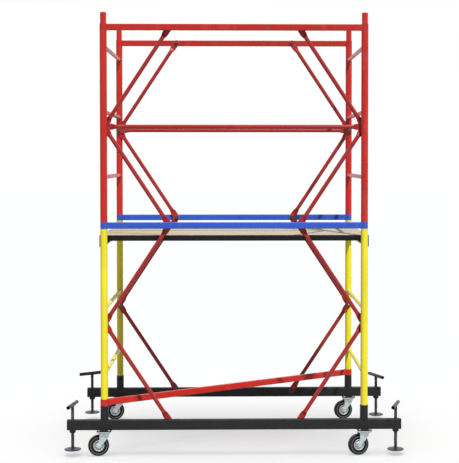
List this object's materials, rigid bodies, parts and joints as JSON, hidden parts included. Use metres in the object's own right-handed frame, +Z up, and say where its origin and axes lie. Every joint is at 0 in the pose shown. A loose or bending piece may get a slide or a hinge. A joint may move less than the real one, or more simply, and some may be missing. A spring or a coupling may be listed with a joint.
{
  "type": "mobile scaffold tower",
  "caption": "Mobile scaffold tower of stacked ladder frames with rails, folding braces, a plywood deck, swivel casters and screw jacks.",
  "frame": {"origin": "on the floor under the wheels, at the centre of the four posts", "axes": "+Z up, +X along the tower from left to right, +Y from the front to the rear"},
  "size_m": [2.0722, 1.1349, 2.648],
  "materials": {
    "base_paint": "black powder coat, satin",
    "yellow_paint": "yellow powder coat, semi-gloss",
    "red_paint": "red powder coat, semi-gloss",
    "blue_paint": "blue powder coat, semi-gloss",
    "zinc": "zinc-plated pressed steel",
    "dark_steel": "phosphated steel fasteners",
    "jack_steel": "black-painted steel screw",
    "foot_steel": "dark blued pressed steel",
    "plug_plastic": "black moulded plastic",
    "tyre_rubber": "black solid rubber",
    "plywood": "sanded plywood"
  },
  "bodies": {
    "tower": {"base_beam_front": "base_paint", "base_beam_rear": "base_paint", "post_sockets": "base_paint", "caster_pads": "base_paint", "jack_nuts": "base_paint", "beam_end_plugs": "plug_plastic", "lower_frame_left": "yellow_paint", "lower_frame_right": "yellow_paint", "upper_frame_left": "red_paint", "upper_frame_right": "red_paint", "lower_spigots": "yellow_paint", "upper_spigots": "red_paint", "platform_rail_front": "blue_paint", "platform_rail_rear": "blue_paint", "top_rail_front": "red_paint", "top_rail_rear": "red_paint", "mid_rail_front": "red_paint", "mid_rail_rear": "red_paint", "plan_brace": "red_paint", "lower_braces_front": "red_paint", "lower_braces_rear": "red_paint", "upper_braces_front": "red_paint", "upper_braces_rear": "red_paint", "brace_washers": "dark_steel", "brace_nuts": "dark_steel", "caster_top_plates": "zinc", "caster_kingpins": "zinc", "caster_bolts": "zinc", "caster_nuts": "zinc"},
    "deck": {"deck_frame": "base_paint", "deck_hooks": "base_paint", "deck_panel": "plywood", "deck_screws": "zinc"},
    "fork_front_left": {"caster_fork_front_left": "zinc", "caster_axle_front_left": "zinc"},
    "wheel_front_left": {"caster_rim_front_left": "zinc", "caster_tyre_front_left": "tyre_rubber"},
    "fork_front_right": {"caster_fork_front_right": "zinc", "caster_axle_front_right": "zinc"},
    "wheel_front_right": {"caster_rim_front_right": "zinc", "caster_tyre_front_right": "tyre_rubber"},
    "fork_rear_left": {"caster_fork_rear_left": "zinc", "caster_axle_rear_left": "zinc"},
    "wheel_rear_left": {"caster_rim_rear_left": "zinc", "caster_tyre_rear_left": "tyre_rubber"},
    "fork_rear_right": {"caster_fork_rear_right": "zinc", "caster_axle_rear_right": "zinc"},
    "wheel_rear_right": {"caster_rim_rear_right": "zinc", "caster_tyre_rear_right": "tyre_rubber"},
    "foot_front_left": {"jack_foot_front_left": "foot_steel"},
    "screw_front_left": {"jack_screw_front_left": "jack_steel"},
    "foot_front_right": {"jack_foot_front_right": "foot_steel"},
    "screw_front_right": {"jack_screw_front_right": "jack_steel"},
    "foot_rear_left": {"jack_foot_rear_left": "foot_steel"},
    "screw_rear_left": {"jack_screw_rear_left": "jack_steel"},
    "foot_rear_right": {"jack_foot_rear_right": "foot_steel"},
    "screw_rear_right": {"jack_screw_rear_right": "jack_steel"}
  },
  "joints": [
    {"name": "deck_lift", "type": "slide", "parent": "tower", "child": "deck", "axis": [0, 0, 1], "range_m": [0, 0.25]},
    {"name": "caster_swivel_front_left", "type": "hinge", "parent": "tower", "child": "fork_front_left", "pos_m": [-0.7788, -0.4788, 0.1397], "axis": [0, 0, 1], "continuous": true},
    {"name": "wheel_spin_front_left", "type": "hinge", "parent": "fork_front_left", "child": "wheel_front_left", "pos_m": [-0.81401, -0.48629, 0.0625], "axis": [-0.2079, 0.9781, 0], "continuous": true},
    {"name": "caster_swivel_front_right", "type": "hinge", "parent": "tower", "child": "fork_front_right", "pos_m": [0.7788, -0.4788, 0.1397], "axis": [0, 0, 1], "continuous": true},
    {"name": "wheel_spin_front_right", "type": "hinge", "parent": "fork_front_right", "child": "wheel_front_right", "pos_m": [0.7442, -0.48872, 0.0625], "axis": [-0.2756, 0.9613, 0], "continuous": true},
    {"name": "caster_swivel_rear_left", "type": "hinge", "parent": "tower", "child": "fork_rear_left", "pos_m": [-0.7788, 0.4788, 0.1397], "axis": [0, 0, 1], "continuous": true},
    {"name": "wheel_spin_rear_left", "type": "hinge", "parent": "fork_rear_left", "child": "wheel_rear_left", "pos_m": [-0.81414, 0.47193, 0.0625], "axis": [-0.1908, 0.9816, 0], "continuous": true},
    {"name": "caster_swivel_rear_right", "type": "hinge", "parent": "tower", "child": "fork_rear_right", "pos_m": [0.7788, 0.4788, 0.1397], "axis": [0, 0, 1], "continuous": true},
    {"name": "wheel_spin_rear_right", "type": "hinge", "parent": "fork_rear_right", "child": "wheel_rear_right", "pos_m": [0.74387, 0.47009, 0.0625], "axis": [-0.2419, 0.9703, 0], "continuous": true},
    {"name": "jack_travel_front_left", "type": "slide", "parent": "tower", "child": "foot_front_left", "axis": [0, 0, 1], "range_m": [-0.07701, 0.08701]},
    {"name": "jack_turn_front_left", "type": "hinge", "parent": "foot_front_left", "child": "screw_front_left", "pos_m": [-0.97, -0.4788, 0.039], "axis": [0, 0, 1], "range_deg": [-6930, 7830]},
    {"name": "jack_travel_front_right", "type": "slide", "parent": "tower", "child": "foot_front_right", "axis": [0, 0, 1], "range_m": [-0.07001, 0.09401]},
    {"name": "jack_turn_front_right", "type": "hinge", "parent": "foot_front_right", "child": "screw_front_right", "pos_m": [0.97, -0.4788, 0.032], "axis": [0, 0, 1], "range_deg": [-6300, 8460]},
    {"name": "jack_travel_rear_left", "type": "slide", "parent": "tower", "child": "foot_rear_left", "axis": [0, 0, 1], "range_m": [-0.08801, 0.07601]},
    {"name": "jack_turn_rear_left", "type": "hinge", "parent": "foot_rear_left", "child": "screw_rear_left", "pos_m": [-0.97, 0.4788, 0.05], "axis": [0, 0, 1], "range_deg": [-7920, 6840]},
    {"name": "jack_travel_rear_right", "type": "slide", "parent": "tower", "child": "foot_rear_right", "axis": [0, 0, 1], "range_m": [-0.06601, 0.09801]},
    {"name": "jack_turn_rear_right", "type": "hinge", "parent": "foot_rear_right", "child": "screw_rear_right", "pos_m": [0.97, 0.4788, 0.028], "axis": [0, 0, 1], "range_deg": [-5940, 8820]}
  ],
  "couplings": [
    {"joint": "jack_travel_front_left", "follows": "jack_turn_front_left", "m_per_rad": 0.00063662},
    {"joint": "jack_travel_front_right", "follows": "jack_turn_front_right", "m_per_rad": 0.00063662},
    {"joint": "jack_travel_rear_left", "follows": "jack_turn_rear_left", "m_per_rad": 0.00063662},
    {"joint": "jack_travel_rear_right", "follows": "jack_turn_rear_right", "m_per_rad": 0.00063662}
  ]
}
